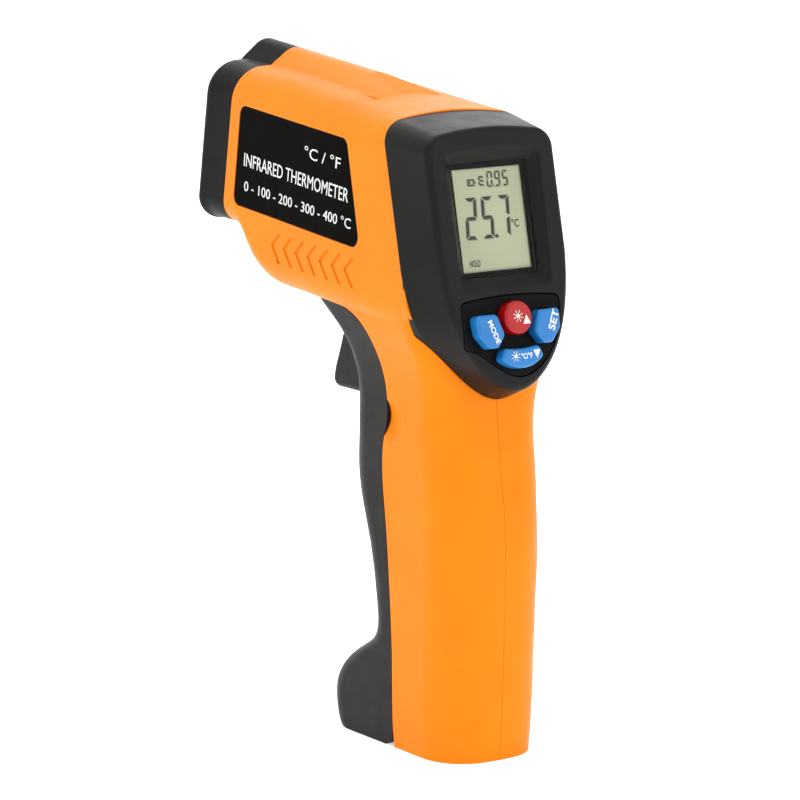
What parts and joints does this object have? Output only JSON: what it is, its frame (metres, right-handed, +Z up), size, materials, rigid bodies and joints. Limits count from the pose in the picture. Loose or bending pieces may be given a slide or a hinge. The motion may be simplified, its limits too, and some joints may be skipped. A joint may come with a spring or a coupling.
{
  "type": "infrared thermometer",
  "caption": "Hand-held pistol-grip infrared thermometer with a tilted display, four keys, a trigger and a swing-down battery door in the front of the handle.",
  "frame": {"origin": "centre of the bounding box's bottom, on the plane that the flat foot of the handle stands on", "axes": "+Z up, +Y the way the nose points, +X to the right of the person who holds it"},
  "size_m": [0.041, 0.1089, 0.1547],
  "materials": {
    "shell_orange": "fine matt moulding texture",
    "black_plastic": "fine matt moulding texture",
    "label_black": "gloss with white print",
    "lens": "milky polyethylene",
    "sensor_metal": "nickel plated can",
    "board_green": "solder mask",
    "laser_brass": "turned",
    "window_clear": "clear polished",
    "lcd": "grey green display glass",
    "light_guide": "white",
    "key_blue": "satin",
    "key_red": "satin",
    "rubber_grey": "matt silicone",
    "chips": "matt epoxy",
    "steel": "bright wire and pins",
    "battery_skin": "plain wrapper",
    "contact_plate": "nickel plated strip",
    "screw_zinc": "zinc plated"
  },
  "bodies": {
    "housing": {"left_housing": "shell_orange", "right_housing": "shell_orange", "label_left": "label_black", "label_right": "label_black", "nose_cap": "black_plastic", "lens_ring": "black_plastic", "fresnel_lens": "lens", "sensor_tube": "black_plastic", "thermopile": "sensor_metal", "sensor_board": "board_green", "laser_module": "laser_brass", "laser_window": "window_clear", "display_housing": "black_plastic", "display_window": "window_clear", "lcd_frame": "black_plastic", "lcd_glass": "lcd", "lcd_backlight": "light_guide", "keypad_panel": "black_plastic", "keypad_mat": "rubber_grey", "main_board": "board_green", "board_parts": "chips", "trigger_spring": "steel", "trigger_frame": "black_plastic", "trigger_board": "board_green", "trigger_switch": "chips", "battery_tray": "black_plastic", "battery_left": "battery_skin", "battery_right": "battery_skin", "battery_springs": "steel", "battery_plates": "contact_plate", "hinge_pin": "steel", "housing_screws": "screw_zinc"},
    "trigger": {"trigger": "black_plastic"},
    "button_up": {"button_up": "key_red"},
    "button_left": {"button_left": "key_blue"},
    "button_right": {"button_right": "key_blue"},
    "button_down": {"button_down": "key_blue"},
    "battery_door": {"battery_door": "black_plastic"}
  },
  "joints": [
    {"name": "trigger_slide", "type": "slide", "parent": "housing", "child": "trigger", "axis": [0, -1, 0], "range_m": [0, 0.0035], "stiffness_N_per_m": 900, "springref_m": -0.0015, "deforming": ["trigger_spring"]},
    {"name": "button_up_press", "type": "slide", "parent": "housing", "child": "button_up", "axis": [0, 0.9767, -0.2147], "range_m": [0, 0.0008], "stiffness_N_per_m": 1500, "springref_m": -0.0002},
    {"name": "button_left_press", "type": "slide", "parent": "housing", "child": "button_left", "axis": [0, 0.9767, -0.2147], "range_m": [0, 0.0008], "stiffness_N_per_m": 1500, "springref_m": -0.0002},
    {"name": "button_right_press", "type": "slide", "parent": "housing", "child": "button_right", "axis": [0, 0.9767, -0.2147], "range_m": [0, 0.0008], "stiffness_N_per_m": 1500, "springref_m": -0.0002},
    {"name": "button_down_press", "type": "slide", "parent": "housing", "child": "button_down", "axis": [0, 0.9767, -0.2147], "range_m": [0, 0.0008], "stiffness_N_per_m": 1500, "springref_m": -0.0002},
    {"name": "battery_door_hinge", "type": "hinge", "parent": "housing", "child": "battery_door", "pos_m": [0, -0.01994, 0.0034], "axis": [-1, 0, 0], "range_deg": [0, 75]}
  ]
}
